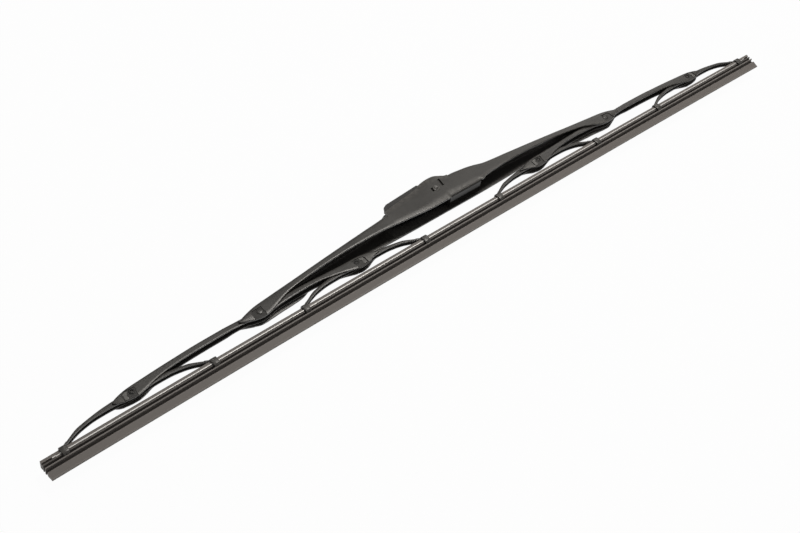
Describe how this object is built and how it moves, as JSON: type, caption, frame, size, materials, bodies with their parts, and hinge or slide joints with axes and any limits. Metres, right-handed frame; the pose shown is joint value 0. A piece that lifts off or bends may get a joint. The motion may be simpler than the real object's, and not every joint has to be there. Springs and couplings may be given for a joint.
{
  "type": "wiper blade",
  "caption": "Bracketed windscreen wiper blade: pressed steel levers and yokes on rivets, a hook adapter on a pin, and a rubber squeegee with flexor strips.",
  "frame": {"origin": "the centre of the arm pin, on the blade's mid-plane", "axes": "+X along the blade, +Y from the wiping lip to the arm side, +Z along the pins and rivets, up as the blade lies on its side"},
  "size_m": [0.6, 0.0489, 0.0156],
  "materials": {
    "black_paint": "satin black coating on pressed steel",
    "rivet_steel": "blackened steel",
    "liner_plastic": "matte",
    "adapter_plastic": "satin moulded plastic",
    "squeegee_rubber": "graphite coated, dull",
    "strip_steel": "bright stainless strip"
  },
  "bodies": {
    "primary": {"primary_lever": "black_paint", "arm_pin": "rivet_steel", "left_main_rivet": "rivet_steel", "right_main_rivet": "rivet_steel", "rubber_squeegee": "squeegee_rubber", "upper_flexor": "strip_steel", "lower_flexor": "strip_steel"},
    "adapter": {"arm_adapter": "adapter_plastic"},
    "left_secondary": {"left_secondary_lever": "black_paint", "left_main_liner": "liner_plastic", "left_outer_rivet": "rivet_steel", "left_inner_rivet": "rivet_steel"},
    "right_secondary": {"right_secondary_lever": "black_paint", "right_main_liner": "liner_plastic", "right_outer_rivet": "rivet_steel", "right_inner_rivet": "rivet_steel"},
    "left_outer": {"left_outer_yoke": "black_paint", "left_outer_liner": "liner_plastic"},
    "left_inner": {"left_inner_yoke": "black_paint", "left_inner_liner": "liner_plastic"},
    "right_inner": {"right_inner_yoke": "black_paint", "right_inner_liner": "liner_plastic"},
    "right_outer": {"right_outer_yoke": "black_paint", "right_outer_liner": "liner_plastic"}
  },
  "joints": [
    {"name": "left_secondary_hinge", "type": "hinge", "parent": "primary", "child": "left_secondary", "pos_m": [-0.151, -0.0138, 0], "axis": [0, 0, 1], "range_deg": [-1.5, 4.5], "stiffness_Nm_per_rad": 1.5, "deforming": ["rubber_squeegee", "upper_flexor", "lower_flexor"]},
    {"name": "right_secondary_hinge", "type": "hinge", "parent": "primary", "child": "right_secondary", "pos_m": [0.151, -0.0138, 0], "axis": [0, 0, 1], "range_deg": [-4.6, 1.6]},
    {"name": "left_outer_hinge", "type": "hinge", "parent": "left_secondary", "child": "left_outer", "pos_m": [-0.23958, -0.01764, 0], "axis": [0, 0, 1], "range_deg": [-0.8, 2.3]},
    {"name": "left_inner_hinge", "type": "hinge", "parent": "left_secondary", "child": "left_inner", "pos_m": [-0.08003, -0.01662, 0], "axis": [0, 0, 1], "range_deg": [-2.3, 0.8]},
    {"name": "right_inner_hinge", "type": "hinge", "parent": "right_secondary", "child": "right_inner", "pos_m": [0.08003, -0.01662, 0], "axis": [0, 0, 1], "range_deg": [-0.8, 2.3]},
    {"name": "right_outer_hinge", "type": "hinge", "parent": "right_secondary", "child": "right_outer", "pos_m": [0.23958, -0.01764, 0], "axis": [0, 0, 1], "range_deg": [-2.3, 0.8]},
    {"name": "adapter_hinge", "type": "hinge", "parent": "primary", "child": "adapter", "pos_m": [0, 0, 0], "axis": [0, 0, 1], "range_deg": [-30, 8]}
  ],
  "couplings": [
    {"joint": "right_secondary_hinge", "follows": "left_secondary_hinge", "ratio": -1},
    {"joint": "left_outer_hinge", "follows": "left_secondary_hinge", "ratio": 0.499},
    {"joint": "left_inner_hinge", "follows": "left_secondary_hinge", "ratio": -0.499},
    {"joint": "right_inner_hinge", "follows": "left_secondary_hinge", "ratio": 0.499},
    {"joint": "right_outer_hinge", "follows": "left_secondary_hinge", "ratio": -0.499}
  ]
}
